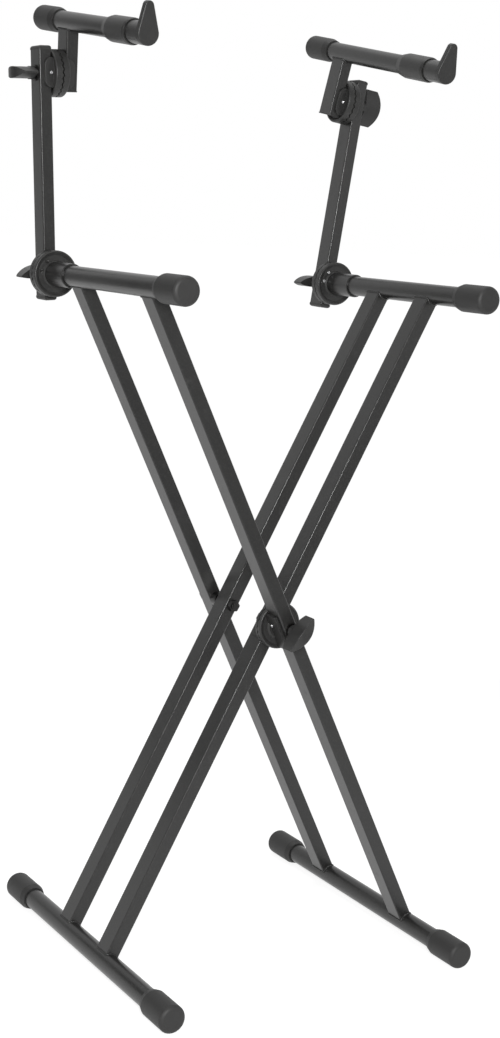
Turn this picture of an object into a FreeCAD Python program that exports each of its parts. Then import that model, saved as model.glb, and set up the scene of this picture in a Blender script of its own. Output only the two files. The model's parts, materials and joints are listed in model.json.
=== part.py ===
import FreeCAD, Part
import math
import os
import re

import Sketcher
from FreeCAD import Placement, Rotation, Vector

# Two-tier folding keyboard stand: a double-braced X frame with swivelling uprights and tilting upper arms.
# Lengths are millimetres and angles are degrees. +X runs across the opening of the X, +Y points away from
# the player and +Z is up. The origin lies on the floor, straight below the pivot of the X.

# The driving dimensions. Every size that can be set by itself stands here once.
SIZES = {
    # rectangular leg tubes of the two crossing frames
    "leg_width": 22,
    "leg_depth": 35,
    "leg_wall": 1.2,
    "leg_corner": 2,
    "leg_reach": 579,
    "half_angle": 27,
    "inner_spacing": 134.4,
    "outer_spacing": 235,
    # round foot and arm tubes
    "foot_diameter": 32,
    "arm_diameter": 32,
    "round_wall": 1.5,
    "foot_span": 564,
    "left_foot_lead": 13,
    "left_arm_front": 231,
    "right_arm_front": 224,
    "arm_back": 202,
    "weld_gap": 0.05,
    # rubber caps of the feet and lower arms
    "cap_diameter": 43,
    "cap_length": 71,
    "cap_mouth": 37,
    "cap_taper": 10,
    "cap_end": 9,
    "cap_rounding": 7,
    "cap_gap": 0.05,
    "foot_flat": 1,
    # steel hub on the rear end of each lower arm
    "hub_diameter": 38,
    "hub_length": 60,
    "hub_end": 6,
    # uprights
    "upright_width": 20,
    "upright_depth": 35,
    "upright_wall": 1.5,
    "upright_corner": 2,
    "upright_back": 242,
    "upright_drop": 37,
    "tilt_height": 307.5,
    "upright_above": 35,
    "left_lean": 3.7,
    "right_lean": 7.3,
    # end plugs of the rectangular tubes: domed on the uprights and nearly flush on the stubs
    "upright_plug_head": 6,
    "upright_plug_rounding": 4,
    "stub_plug_head": 2,
    "stub_plug_rounding": 0.8,
    "plug_depth": 11,
    "plug_gap": 0.2,
    # toothed clutch discs
    "disc_diameter": 73,
    "disc_dish": 2.4,
    "disc_rim": 5,
    "tooth_count": 24,
    "tooth_depth": 2.2,
    "tooth_ring": 44,
    "tooth_fill": 0.86,
    "clutch_gap": 0.3,
    # cheeks of the pivot's discs, one on each side of the leg
    "saddle_wall": 4,
    "saddle_reach": 27,
    "saddle_length": 60,
    "saddle_gap": 0.2,
    # clamp bolts, washers and nuts
    "bolt_diameter": 10,
    "bolt_gap": 0.3,
    "thread_gap": 0.08,
    "head_across": 17,
    "head_thickness": 6.4,
    "nut_thickness": 9,
    "bolt_tail": 4,
    "washer_diameter": 24,
    "washer_thickness": 2,
    "rest_gap": 0.3,
    # wing knobs
    "knob_span": 62,
    "knob_length": 38,
    "knob_shoulder": 28,
    "knob_foot": 6,
    "knob_thickness": 18,
    "knob_tip": 2.4,
    "knob_hub": 20,
    "knob_hub_length": 9,
    "knob_thread": 19,
    "knob_edge": 1,
    # welded stub that carries each upper arm
    "stub_width": 20,
    "stub_depth": 35,
    "stub_drop": 25,
    "tier_offset": 44,
    "tier_rise": 79,
    "left_tier_tilt": 7.3,
    "right_tier_tilt": 8.8,
    # upper arms
    "upper_diameter": 30,
    "upper_wall": 1.5,
    "left_upper_back": 97,
    "right_upper_back": 102,
    "upper_front": 215,
    "upper_cap_diameter": 39,
    "upper_cap_length": 69,
    "upper_cap_mouth": 34,
    "upper_cap_taper": 12,
    "upper_cap_end": 8,
    "upper_cap_rounding": 6,
    # telescopic sleeve, its twist-lock collar and its end stop
    "sleeve_start": 154,
    "sleeve_length": 107,
    "sleeve_wall": 1.5,
    "sleeve_gap": 0.3,
    "left_extension": 2,
    "right_extension": 38,
    "collar_lead": 5,
    "collar_length": 76,
    "collar_diameter": 39.5,
    "collar_mouth": 34,
    "collar_taper": 14,
    "collar_nose": 37.5,
    "stop_diameter": 34,
    "stop_tip": 15,
    "stop_height": 38.5,
    "stop_thickness": 9,
    "stop_plug": 12,
    "stop_edge": 2,
}

doc = FreeCAD.newDocument("KeyboardStand")
sheet = doc.addObject("Spreadsheet::Sheet", "Sizes")
for row, (alias, number) in enumerate(SIZES.items(), start=1):
    sheet.set(f"A{row}", str(number))
    sheet.setAlias(f"A{row}", alias)
doc.recompute()

NODES = []
X_AXIS = Vector(1, 0, 0)
Y_AXIS = Vector(0, 1, 0)
Z_AXIS = Vector(0, 0, 1)
# turns that lay a piece's own +Z along another direction
TO_BACK = Rotation(X_AXIS, -90)
TO_FRONT = Rotation(X_AXIS, 90)
TO_BACK_UPRIGHT = Rotation(Z_AXIS, 180) * TO_FRONT
TO_SIDE = {1: Rotation(Y_AXIS, 90), -1: Rotation(Y_AXIS, -90)}


def size(alias):
    """The number in one cell of the sheet."""
    return float(sheet.get(alias))


def cell(text):
    """An expression on the sheet's cells, from one written with their bare names."""
    return re.sub(r"\b([a-z][a-z_]*)\b(?!\()", r"Sizes.\1", text)


def bind(feature, **sizes):
    """Ties properties of a feature to expressions on the sheet."""
    for name, text in sizes.items():
        feature.setExpression(name, cell(text))


def new_body(label):
    body = doc.addObject("PartDesign::Body", label)
    body.Label = label
    NODES.append(body)
    return body


def group(label, pieces):
    """One node for identical pieces, which stay separate solids in it."""
    node = doc.addObject("Part::Compound", label)
    node.Label = label
    node.Links = pieces
    for piece in pieces:
        NODES.remove(piece)
    NODES.append(node)
    return node


def place(piece, *steps):
    """Puts a piece where a chain of placements leads."""
    total = Placement()
    for step in steps:
        total = total.multiply(step)
    piece.Placement = total
    return piece


def shift(x, y, z, turn=Rotation()):
    return Placement(Vector(x, y, z), turn)


# ---------------------------------------------------------------- sketches and features


def sketch_on(body, role, name, offset=None):
    """An empty sketch on one of the body's origin planes, raised along its normal by an expression."""
    sketch = body.newObject("Sketcher::SketchObject", name)
    plane = next(item for item in body.Origin.OriginFeatures if item.Role == role)
    sketch.AttachmentSupport = [(plane, "")]
    sketch.MapMode = "FlatFace"
    if offset:
        sketch.setExpression("AttachmentOffset.Base.z", cell(offset))
    return sketch


def pin_point(sketch, geometry, point, x, y):
    """Holds one point of a sketch at expressions for its two coordinates."""
    start = sketch.getPoint(geometry, point)
    for kind, text, value in (("DistanceX", x, start.x), ("DistanceY", y, start.y)):
        index = sketch.addConstraint(Sketcher.Constraint(kind, -1, 1, geometry, point, value))
        sketch.setExpression(f"Constraints[{index}]", cell(text))


def bind_radius(sketch, geometry, radius):
    """Holds the radius of a circle or an arc at an expression."""
    start = sketch.Geometry[geometry].Radius
    index = sketch.addConstraint(Sketcher.Constraint("Radius", geometry, start))
    sketch.setExpression(f"Constraints[{index}]", cell(radius))


def outline(sketch, corners):
    """A closed polygon whose corners are pairs of expressions."""
    first = sketch.GeometryCount
    count = len(corners)
    turn = 2 * math.pi / count
    start = [Vector(math.cos(turn * i), math.sin(turn * i), 0) for i in range(count)]
    for i in range(count):
        sketch.addGeometry(Part.LineSegment(start[i], start[(i + 1) % count]))
    for i, (x, y) in enumerate(corners):
        after = first + (i + 1) % count
        sketch.addConstraint(Sketcher.Constraint("Coincident", first + i, 2, after, 1))
        pin_point(sketch, first + i, 1, x, y)
    return sketch


def ring(sketch, radius, x="0", y="0"):
    """A circle with its radius and centre bound to expressions."""
    index = sketch.addGeometry(Part.Circle(Vector(0, 0, 0), Z_AXIS, 1))
    bind_radius(sketch, index, radius)
    pin_point(sketch, index, 3, x, y)
    return sketch


def rectangle(sketch, width, depth):
    """A rectangle centred on the sketch's origin."""
    x = f"({width}) / 2"
    y = f"({depth}) / 2"
    return outline(sketch, [(f"-{x}", f"-{y}"), (x, f"-{y}"), (x, y), (f"-{x}", y)])


def pad(body, sketch, length, midplane=False, backwards=False):
    feature = body.newObject("PartDesign::Pad", "Pad")
    feature.Profile = sketch
    feature.Midplane = midplane
    feature.Reversed = backwards
    bind(feature, Length=length)
    return feature


def pocket(body, sketch, length, midplane=False, backwards=False):
    """Cuts a sketch out of the body, and fails where it cuts nothing."""
    doc.recompute()
    before = body.Shape.Volume
    feature = body.newObject("PartDesign::Pocket", "Pocket")
    feature.Profile = sketch
    feature.Midplane = midplane
    feature.Reversed = backwards
    bind(feature, Length=length)
    doc.recompute()
    if feature.Shape.Volume > before - 0.01:
        raise RuntimeError(f"{body.Label}: a pocket cuts nothing")
    return feature


def revolve(body, corners):
    """Turns a closed outline of (radius, height) expressions about the body's own Z axis."""
    sketch = outline(sketch_on(body, "XZ_Plane", "Profile"), corners)
    feature = body.newObject("PartDesign::Revolution", "Revolution")
    feature.Profile = sketch
    feature.ReferenceAxis = (sketch, ["V_Axis"])
    feature.Angle = 360
    doc.recompute()
    return feature


def round_edges(body, radius, chosen):
    """Fillets the edges of the body's last feature that a test picks out."""
    doc.recompute()
    base = body.Tip
    names = [f"Edge{i}" for i, edge in enumerate(base.Shape.Edges, start=1) if chosen(edge)]
    if not names:
        raise RuntimeError(f"{body.Label}: no edge to round")
    feature = body.newObject("PartDesign::Fillet", "Fillet")
    feature.Base = (base, names)
    bind(feature, Radius=radius)
    doc.recompute()
    return feature


def is_straight_along(edge, axis):
    """True for a straight edge that runs along an axis."""
    if edge.Curve.TypeId != "Part::GeomLine":
        return False
    return abs(abs(edge.tangentAt(edge.FirstParameter).dot(axis)) - 1) < 1e-6


def lies_at(edge, height):
    """True for an edge that lies flat at one height of the body's own Z axis."""
    box = edge.BoundBox
    return abs(box.ZMin - height) < 1e-4 and abs(box.ZMax - height) < 1e-4


# ---------------------------------------------------------------- the kinds of piece


def round_tube(label, diameter, wall, start, length):
    """A straight round tube along its own Z axis."""
    body = new_body(label)
    section = sketch_on(body, "XY_Plane", "Section", start)
    ring(section, f"({diameter}) / 2")
    ring(section, f"({diameter}) / 2 - {wall}")
    pad(body, section, length)
    doc.recompute()
    return body


def box_tube(label, width, depth, wall, corner, start, length):
    """A straight rectangular tube with rounded long edges, along its own Z axis."""
    body = new_body(label)
    section = sketch_on(body, "XY_Plane", "Section", start)
    rectangle(section, width, depth)
    rectangle(section, f"{width} - 2 * {wall}", f"{depth} - 2 * {wall}")
    pad(body, section, length)
    half = size(width) / 2

    def is_outer(edge):
        return is_straight_along(edge, Z_AXIS) and abs(abs(edge.Vertexes[0].X) - half) < 1e-4

    round_edges(body, corner, is_outer)
    return body


def drill(body, role, radius, x="0", y="0", depth="leg_depth * 3"):
    """A round hole through the body, square to one of its origin planes."""
    return pocket(body, ring(sketch_on(body, role, "Hole"), radius, x, y), depth, midplane=True)


def leg(label, frame, y):
    """One leg, with its ends coped round the arm tube above and the foot tube below."""
    body = box_tube(label, "leg_width", "leg_depth", "leg_wall", "leg_corner", "-leg_reach", "2 * leg_reach")
    drill(body, "XZ_Plane", "arm_diameter / 2 + weld_gap", y="leg_reach")
    drill(body, "XZ_Plane", "foot_diameter / 2 + weld_gap", y="-leg_reach")
    drill(body, "XZ_Plane", "bolt_diameter / 2 + bolt_gap")
    return place(body, frame, shift(0, y, 0))


def rubber_cap(label, tube, kind, flat=False):
    """A moulded cap: open mouth, taper, straight wall and rounded end; a foot's cap has a flat sole."""
    body = new_body(label)
    bore = f"{tube} / 2 + cap_gap"
    outer = f"{kind}_diameter / 2"
    revolve(
        body,
        [
            (bore, "0"),
            (f"{kind}_mouth / 2", "0"),
            (outer, f"{kind}_taper"),
            (outer, f"{kind}_length"),
            ("0", f"{kind}_length"),
            ("0", f"{kind}_length - {kind}_end"),
            (bore, f"{kind}_length - {kind}_end"),
        ],
    )
    end = size(f"{kind}_length")
    round_edges(body, f"{kind}_rounding", lambda edge: lies_at(edge, end))
    if flat:
        sole = sketch_on(body, "YZ_Plane", "Sole")
        inner = "foot_flat - cap_diameter / 2"
        outline(sole, [(inner, "0"), (inner, "cap_length"), ("-cap_diameter", "cap_length"), ("-cap_diameter", "0")])
        pocket(body, sole, "cap_diameter * 2", midplane=True)
    return body


def clutch_disc(label, thickness):
    """Half of a friction clutch: radial teeth on the front, a dished back and a seat for what it is fixed to."""
    body = new_body(label)
    rim = "disc_diameter / 2"
    seat = "hub_diameter / 2"
    bore = "bolt_diameter / 2 + bolt_gap"
    floor = f"{thickness} - tooth_depth - 0.6"
    revolve(
        body,
        [
            (bore, "0"),
            (seat, "0"),
            (f"{seat} + disc_dish", "disc_dish"),
            (f"{rim} - disc_rim - disc_dish", "disc_dish"),
            (f"{rim} - disc_rim", "disc_dish / 2"),
            (f"{rim} - 1", "disc_dish / 2"),
            (rim, "disc_dish / 2 + 1"),
            (rim, thickness),
            ("tooth_ring / 2", thickness),
            ("tooth_ring / 2 - 1", floor),
            (bore, floor),
        ],
    )
    notches = []
    for name, radius in (("Inner", "(tooth_ring / 2 - 2)"), ("Outer", f"({rim} + 1)")):
        section = sketch_on(body, "YZ_Plane", name, radius)
        half = f"(tooth_fill * 180 * tan(1) * {radius} / tooth_count)"
        deep = f"(tooth_depth * {radius} / ({rim} + 1))"
        outline(
            section,
            [
                ("0", f"{thickness} - {deep}"),
                (f"{half} * (1 + 0.5 / {deep})", f"{thickness} + 0.5"),
                (f"-{half} * (1 + 0.5 / {deep})", f"{thickness} + 0.5"),
            ],
        )
        notches.append(section)
    notch = body.newObject("PartDesign::SubtractiveLoft", "Notch")
    notch.Profile = notches[0]
    notch.Sections = [notches[1]]
    notch.Ruled = True
    doc.recompute()
    teeth = body.newObject("PartDesign::PolarPattern", "Teeth")
    teeth.Originals = [notch]
    axis = next(item for item in body.Origin.OriginFeatures if item.Role == "Z_Axis")
    teeth.Axis = (axis, [""])
    teeth.Angle = 360
    bind(teeth, Occurrences="tooth_count")
    body.Tip = teeth
    doc.recompute()
    return body


def saddled_disc(label, thickness, width):
    """A clutch disc with two cheeks on its back that hold the sides of the tube it is fixed to."""
    body = clutch_disc(label, thickness)
    section = sketch_on(body, "XY_Plane", "Cheeks", "disc_dish + 1")
    inner = f"({width} / 2 + saddle_gap)"
    outer = f"({inner} + saddle_wall)"
    end = "saddle_length / 2"
    for sign in ("", "-"):
        near = f"{sign}{inner}"
        far = f"{sign}{outer}"
        outline(section, [(near, f"-{end}"), (far, f"-{end}"), (far, end), (near, end)])
    pad(body, section, "disc_dish + 1 + saddle_reach", backwards=True)
    doc.recompute()
    return body


def hexagon(sketch, across):
    corner = f"({across}) / 2 / cos(30)"
    return outline(sketch, [(f"{corner} * cos({60 * i})", f"{corner} * sin({60 * i})") for i in range(6)])


def bolt(label, length):
    """A hexagon bolt: its head below the origin and its shank along +Z."""
    body = new_body(label)
    pad(body, hexagon(sketch_on(body, "XY_Plane", "Head"), "head_across"), "head_thickness", backwards=True)
    pad(body, ring(sketch_on(body, "XY_Plane", "Shank"), "bolt_diameter / 2"), length)
    doc.recompute()
    return body


def washer(label, radius_inside="bolt_diameter / 2 + bolt_gap"):
    body = new_body(label)
    section = ring(sketch_on(body, "XY_Plane", "Section"), "washer_diameter / 2")
    ring(section, radius_inside)
    pad(body, section, "washer_thickness")
    doc.recompute()
    return body


def nut(label):
    body = new_body(label)
    section = hexagon(sketch_on(body, "XY_Plane", "Section"), "head_across")
    ring(section, "bolt_diameter / 2 + weld_gap")
    pad(body, section, "nut_thickness")
    doc.recompute()
    return body


def wing_knob(label):
    """A moulded wing knob: a lens-shaped wing with a bowed outer edge, a round hub and a blind threaded bore."""
    body = new_body(label)
    wing = sketch_on(body, "XY_Plane", "Wing", "knob_foot")
    side = size("knob_span") / 2
    thick = size("knob_thickness") / 2
    tip = size("knob_tip") / 2
    right = Vector(side, tip, 0)
    left = Vector(-side, -tip, 0)
    wing.addGeometry(Part.LineSegment(Vector(side, -tip, 0), right))
    wing.addGeometry(Part.Arc(right, Vector(0, thick, 0), Vector(-side, tip, 0)))
    wing.addGeometry(Part.LineSegment(Vector(-side, tip, 0), left))
    wing.addGeometry(Part.Arc(left, Vector(0, -thick, 0), Vector(side, -tip, 0)))
    for first, second in ((0, 1), (1, 2), (2, 3), (3, 0)):
        wing.addConstraint(Sketcher.Constraint("Coincident", first, 2, second, 1))
    pin_point(wing, 0, 1, "knob_span / 2", "-knob_tip / 2")
    pin_point(wing, 0, 2, "knob_span / 2", "knob_tip / 2")
    pin_point(wing, 2, 1, "-knob_span / 2", "knob_tip / 2")
    pin_point(wing, 2, 2, "-knob_span / 2", "-knob_tip / 2")
    bow = "((knob_thickness - knob_tip) / 2)"
    bind_radius(wing, 1, f"{bow} / 2 + knob_span ^ 2 / 8 / {bow}")
    bind_radius(wing, 3, f"{bow} / 2 + knob_span ^ 2 / 8 / {bow}")
    pad(body, wing, "knob_length - knob_foot")
    high = size("knob_shoulder")
    crown = size("knob_length")
    above = sketch_on(body, "XZ_Plane", "Crown")
    above.addGeometry(Part.Arc(Vector(side, high, 0), Vector(0, crown, 0), Vector(-side, high, 0)))
    corners = [(-side, high), (-side - 1, high), (-side - 1, crown + 1)]
    corners += [(-x, z) for x, z in reversed(corners)]
    for start, end in zip(corners, corners[1:]):
        above.addGeometry(Part.LineSegment(Vector(*start, 0), Vector(*end, 0)))
    for i in range(6):
        above.addConstraint(Sketcher.Constraint("Coincident", i, 2, (i + 1) % 6, 1))
    outside = "(knob_span / 2 + 1)"
    pin_point(above, 1, 1, "-knob_span / 2", "knob_shoulder")
    pin_point(above, 2, 1, f"-{outside}", "knob_shoulder")
    pin_point(above, 3, 1, f"-{outside}", "knob_length + 1")
    pin_point(above, 4, 1, outside, "knob_length + 1")
    pin_point(above, 5, 1, outside, "knob_shoulder")
    pin_point(above, 5, 2, "knob_span / 2", "knob_shoulder")
    rise = "(knob_length - knob_shoulder)"
    bind_radius(above, 0, f"{rise} / 2 + knob_span ^ 2 / 8 / {rise}")
    pocket(body, above, "knob_thickness * 2", midplane=True)
    round_edges(body, "knob_edge", lambda edge: edge.BoundBox.ZMax > crown - 0.5)
    revolve(
        body,
        [
            ("0", "0"),
            ("knob_hub / 2 - 1", "0"),
            ("knob_hub / 2", "1"),
            ("knob_hub / 2", "knob_hub_length"),
            ("0", "knob_hub_length"),
        ],
    )
    thread = ring(sketch_on(body, "XY_Plane", "Thread"), "bolt_diameter / 2 + thread_gap")
    pocket(body, thread, "knob_thread", backwards=True)
    return body


def tube_plug(label, kind):
    """A plug for the end of a rectangular tube: the head stands on the end, the shank fits inside."""
    body = new_body(label)
    width = f"{kind}_width"
    depth = f"{kind}_depth"
    pad(body, rectangle(sketch_on(body, "XY_Plane", "Head"), width, depth), f"{kind}_plug_head")
    shank = sketch_on(body, "XY_Plane", "Shank")
    for walls in (2, 6):
        less = f"{walls} * upright_wall - 2 * plug_gap"
        rectangle(shank, f"{width} - {less}", f"{depth} - {less}")
    pad(body, shank, "plug_depth", backwards=True)
    doc.recompute()
    high = size(f"{kind}_plug_head")
    round_edges(body, f"{kind}_plug_rounding", lambda edge: lies_at(edge, high))
    return body


# ---------------------------------------------------------------- where the assembly stands


def sine(alias):
    return math.sin(math.radians(size(alias)))


def cosine(alias):
    return math.cos(math.radians(size(alias)))


FOOT_HEIGHT = size("cap_diameter") / 2 - size("foot_flat")
PIVOT_HEIGHT = FOOT_HEIGHT + size("leg_reach") * cosine("half_angle")
ARM_HEIGHT = PIVOT_HEIGHT + size("leg_reach") * cosine("half_angle")
HALF_WIDTH = size("leg_reach") * sine("half_angle")
OUTER_FRAME = shift(0, 0, PIVOT_HEIGHT, Rotation(Y_AXIS, -size("half_angle")))
INNER_FRAME = shift(0, 0, PIVOT_HEIGHT, Rotation(Y_AXIS, size("half_angle")))

PIVOT_DISC = "((outer_spacing - inner_spacing) / 2 - leg_depth - clutch_gap) / 2"
SWIVEL_DISC = "(upright_back - upright_depth / 2 - arm_back - clutch_gap) / 2"
TILT_DISC = "(tier_offset - (upright_width + stub_width) / 2 - clutch_gap) / 2"


def foot(side, x, y=0):
    """One foot: the tube on the floor and its two soled caps."""
    tube_length = "foot_span - 2 * cap_end"
    tube = round_tube(f"{side}_foot_tube", "foot_diameter", "round_wall", f"-({tube_length}) / 2", tube_length)
    place(tube, shift(x, y, FOOT_HEIGHT, TO_BACK))
    reach = size("foot_span") / 2 - size("cap_length")
    front = rubber_cap(f"{side}_foot_front_cap", "foot_diameter", "cap", flat=True)
    place(front, shift(x, y - reach, FOOT_HEIGHT, TO_FRONT))
    back = rubber_cap(f"{side}_foot_back_cap", "foot_diameter", "cap", flat=True)
    place(back, shift(x, y + reach, FOOT_HEIGHT, TO_BACK_UPRIGHT))
    group(f"{side}_foot_caps", [front, back])


def lower_arm(side, x):
    """One lower arm: tube, front cap, and the hub and toothed disc that carry the upright."""
    tube = round_tube(
        f"{side}_arm_tube",
        "arm_diameter",
        "round_wall",
        f"cap_end - {side}_arm_front",
        f"{side}_arm_front - cap_end + arm_back - hub_end",
    )
    place(tube, shift(x, 0, ARM_HEIGHT, TO_BACK))
    cap = rubber_cap(f"{side}_arm_cap", "arm_diameter", "cap")
    front = size("cap_length") - size(f"{side}_arm_front")
    place(cap, shift(x, front, ARM_HEIGHT, TO_FRONT))
    hub = new_body(f"{side}_arm_hub")
    bore = "arm_diameter / 2 + weld_gap"
    revolve(
        hub,
        [
            (bore, "0"),
            ("hub_diameter / 2 - 1", "0"),
            ("hub_diameter / 2", "1"),
            ("hub_diameter / 2", "hub_length"),
            ("bolt_diameter / 2 + weld_gap", "hub_length"),
            ("bolt_diameter / 2 + weld_gap", "hub_length - hub_end"),
            (bore, "hub_length - hub_end"),
        ],
    )
    place(hub, shift(x, size("arm_back") - size("hub_length"), ARM_HEIGHT, TO_BACK))
    disc = clutch_disc(f"{side}_arm_disc", SWIVEL_DISC)
    place(disc, shift(x, size("arm_back"), ARM_HEIGHT, TO_BACK))


def frames():
    """The outer frame with the left arm and right foot, and the inner frame with the other two."""
    outer = size("outer_spacing") / 2
    inner = size("inner_spacing") / 2
    leg("outer_front_leg", OUTER_FRAME, -outer)
    leg("outer_back_leg", OUTER_FRAME, outer)
    leg("inner_front_leg", INNER_FRAME, -inner)
    leg("inner_back_leg", INNER_FRAME, inner)
    foot("left", -HALF_WIDTH, -size("left_foot_lead"))
    foot("right", HALF_WIDTH)
    lower_arm("left", -HALF_WIDTH)
    lower_arm("right", HALF_WIDTH)


def pivot():
    """The toothed clutch on the front pair of legs and the plain bolted joint on the back pair."""
    outer = size("outer_spacing") / 2
    inner = size("inner_spacing") / 2
    half = size("leg_depth") / 2
    thin = size("washer_thickness")
    rest = size("rest_gap")
    near = saddled_disc("outer_pivot_disc", PIVOT_DISC, "leg_width")
    place(near, OUTER_FRAME, shift(0, half - outer, 0, TO_BACK))
    far = saddled_disc("inner_pivot_disc", PIVOT_DISC, "leg_width")
    place(far, INNER_FRAME, shift(0, -inner - half, 0, TO_FRONT))
    spread = "(outer_spacing - inner_spacing) / 2"
    stack = f"leg_depth + {spread} + washer_thickness + 2 * rest_gap + knob_thread - 2"
    place(bolt("front_pivot_bolt", stack), shift(0, half - inner, PIVOT_HEIGHT, TO_FRONT))
    place(washer("front_pivot_washer"), shift(0, -outer - half, PIVOT_HEIGHT, TO_FRONT))
    place(wing_knob("pivot_knob"), shift(0, -outer - half - thin - rest, PIVOT_HEIGHT, TO_FRONT), KNOB_TURN["pivot"])
    through = f"leg_depth + {spread} + rest_gap + nut_thickness + bolt_tail"
    place(bolt("back_pivot_bolt", through), shift(0, outer + half, PIVOT_HEIGHT, TO_FRONT))
    place(nut("back_pivot_nut"), shift(0, inner - half - rest, PIVOT_HEIGHT, TO_FRONT))
    spacer = new_body("back_pivot_spacer")
    section = ring(sketch_on(spacer, "XY_Plane", "Section"), "washer_diameter / 2")
    ring(section, "bolt_diameter / 2 + bolt_gap")
    pad(spacer, section, f"{spread} - leg_depth - rest_gap")
    doc.recompute()
    place(spacer, shift(0, outer - half, PIVOT_HEIGHT, TO_FRONT))


def upright(side, frame):
    """One upright with its end plugs, its swivel clutch below and the fixed half of its tilt clutch above."""
    sign = INWARD[side]
    half = size("upright_depth") / 2
    tube = box_tube(
        f"{side}_upright_tube",
        "upright_width",
        "upright_depth",
        "upright_wall",
        "upright_corner",
        "-upright_drop",
        "upright_drop + tilt_height + upright_above",
    )
    drill(tube, "XZ_Plane", "bolt_diameter / 2 + bolt_gap")
    drill(tube, "YZ_Plane", "bolt_diameter / 2 + bolt_gap", y="tilt_height")
    place(tube, frame)
    top = tube_plug(f"{side}_upright_top_plug", "upright")
    place(top, frame, shift(0, 0, size("tilt_height") + size("upright_above")))
    base = tube_plug(f"{side}_upright_base_plug", "upright")
    place(base, frame, shift(0, 0, -size("upright_drop"), Rotation(X_AXIS, 180)))
    group(f"{side}_upright_plugs", [top, base])
    place(clutch_disc(f"{side}_upright_disc", SWIVEL_DISC), frame, shift(0, -half, 0, TO_FRONT))
    place(
        clutch_disc(f"{side}_upright_tilt_disc", TILT_DISC),
        frame,
        shift(sign * size("upright_width") / 2, 0, size("tilt_height"), TO_SIDE[sign]),
    )


def swivel_clamp(side, frame):
    """The bolt held in the arm's hub, and the knob behind the upright that draws the clutch together."""
    thin = size("washer_thickness")
    rest = size("rest_gap")
    inside = size("arm_back") - size("hub_end") - size("upright_back")
    length = "hub_end + upright_back + upright_depth / 2 - arm_back"
    shank = bolt(f"{side}_swivel_bolt", f"{length} + washer_thickness + 2 * rest_gap + knob_thread - 2")
    place(shank, frame, shift(0, inside, 0, TO_BACK))
    behind = size("upright_depth") / 2
    place(washer(f"{side}_swivel_washer"), frame, shift(0, behind, 0, TO_BACK))
    knob = wing_knob(f"{side}_swivel_knob")
    place(knob, frame, shift(0, behind + thin + rest, 0, TO_BACK), KNOB_TURN[f"{side}_swivel"])


def tilt_clamp(side, frame):
    """The bolt trapped inside the stub, and the knob outside the upright."""
    sign = INWARD[side]
    thin = size("washer_thickness")
    rest = size("rest_gap")
    high = size("tilt_height")
    wall = size("stub_width") / 2 - size("upright_wall")
    length = "tier_offset - stub_width / 2 + upright_wall + upright_width / 2"
    shank = bolt(f"{side}_tilt_bolt", f"{length} + washer_thickness + 2 * rest_gap + knob_thread - 2")
    place(shank, frame, shift(sign * (size("tier_offset") - wall), 0, high, TO_SIDE[-sign]))
    outside = -sign * size("upright_width") / 2
    place(washer(f"{side}_tilt_washer"), frame, shift(outside, 0, high, TO_SIDE[-sign]))
    outside -= sign * (thin + rest)
    knob = wing_knob(f"{side}_tilt_knob")
    place(knob, frame, shift(outside, 0, high, TO_SIDE[-sign]), KNOB_TURN[f"{side}_tilt"])


def upper_arm(side, frame):
    """The welded stub and arm tube of the upper tier, with its disc, plug and cap."""
    sign = INWARD[side]
    stub = box_tube(
        f"{side}_stub_tube",
        "stub_width",
        "stub_depth",
        "upright_wall",
        "upright_corner",
        "-stub_drop",
        "stub_drop + tier_rise",
    )
    drill(stub, "XZ_Plane", "upper_diameter / 2 + weld_gap", y="tier_rise")
    hole = ring(sketch_on(stub, "YZ_Plane", "Hole"), "bolt_diameter / 2 + weld_gap")
    pocket(stub, hole, "stub_width", backwards=sign < 0)
    place(stub, frame)
    plug = tube_plug(f"{side}_stub_plug", "stub")
    place(plug, frame, shift(0, 0, -size("stub_drop"), Rotation(X_AXIS, 180)))
    disc = clutch_disc(f"{side}_stub_disc", TILT_DISC)
    place(disc, frame, shift(-sign * size("stub_width") / 2, 0, 0, TO_SIDE[-sign]))
    tube = round_tube(
        f"{side}_upper_tube",
        "upper_diameter",
        "upper_wall",
        f"upper_cap_end - {side}_upper_back",
        f"{side}_upper_back - upper_cap_end + upper_front",
    )
    place(tube, frame, shift(0, 0, size("tier_rise"), TO_FRONT))
    cap = rubber_cap(f"{side}_upper_cap", "upper_diameter", "upper_cap")
    back = size(f"{side}_upper_back") - size("upper_cap_length")
    place(cap, frame, shift(0, back, size("tier_rise"), TO_BACK_UPRIGHT))


def sleeve_group(side, frame):
    """The telescopic end of an upper arm: sleeve, twist-lock collar and upturned end stop."""
    line = shift(0, 0, size("tier_rise"), TO_FRONT)
    out = size("sleeve_start") + size(f"{side}_extension")
    bore = "(upper_diameter / 2 + sleeve_gap)"
    skin = f"({bore} + sleeve_wall)"
    sleeve = round_tube(f"{side}_sleeve", f"2 * {skin}", "sleeve_wall", "0", "sleeve_length")
    place(sleeve, frame, line, shift(0, 0, out))
    collar = new_body(f"{side}_lock_collar")
    revolve(
        collar,
        [
            (f"{bore}", "-collar_lead"),
            ("collar_mouth / 2", "-collar_lead"),
            ("collar_diameter / 2", "collar_taper - collar_lead"),
            ("collar_diameter / 2", "collar_length - collar_lead - 4"),
            ("collar_nose / 2", "collar_length - collar_lead"),
            (f"{skin} + rest_gap", "collar_length - collar_lead"),
            (f"{skin} + rest_gap", "-rest_gap"),
            (f"{bore}", "-rest_gap"),
        ],
    )
    place(collar, frame, line, shift(0, 0, out))
    stop = end_stop(f"{side}_end_stop", bore)
    place(stop, frame, line, shift(0, 0, out + size("sleeve_length") + size("rest_gap")))


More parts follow.
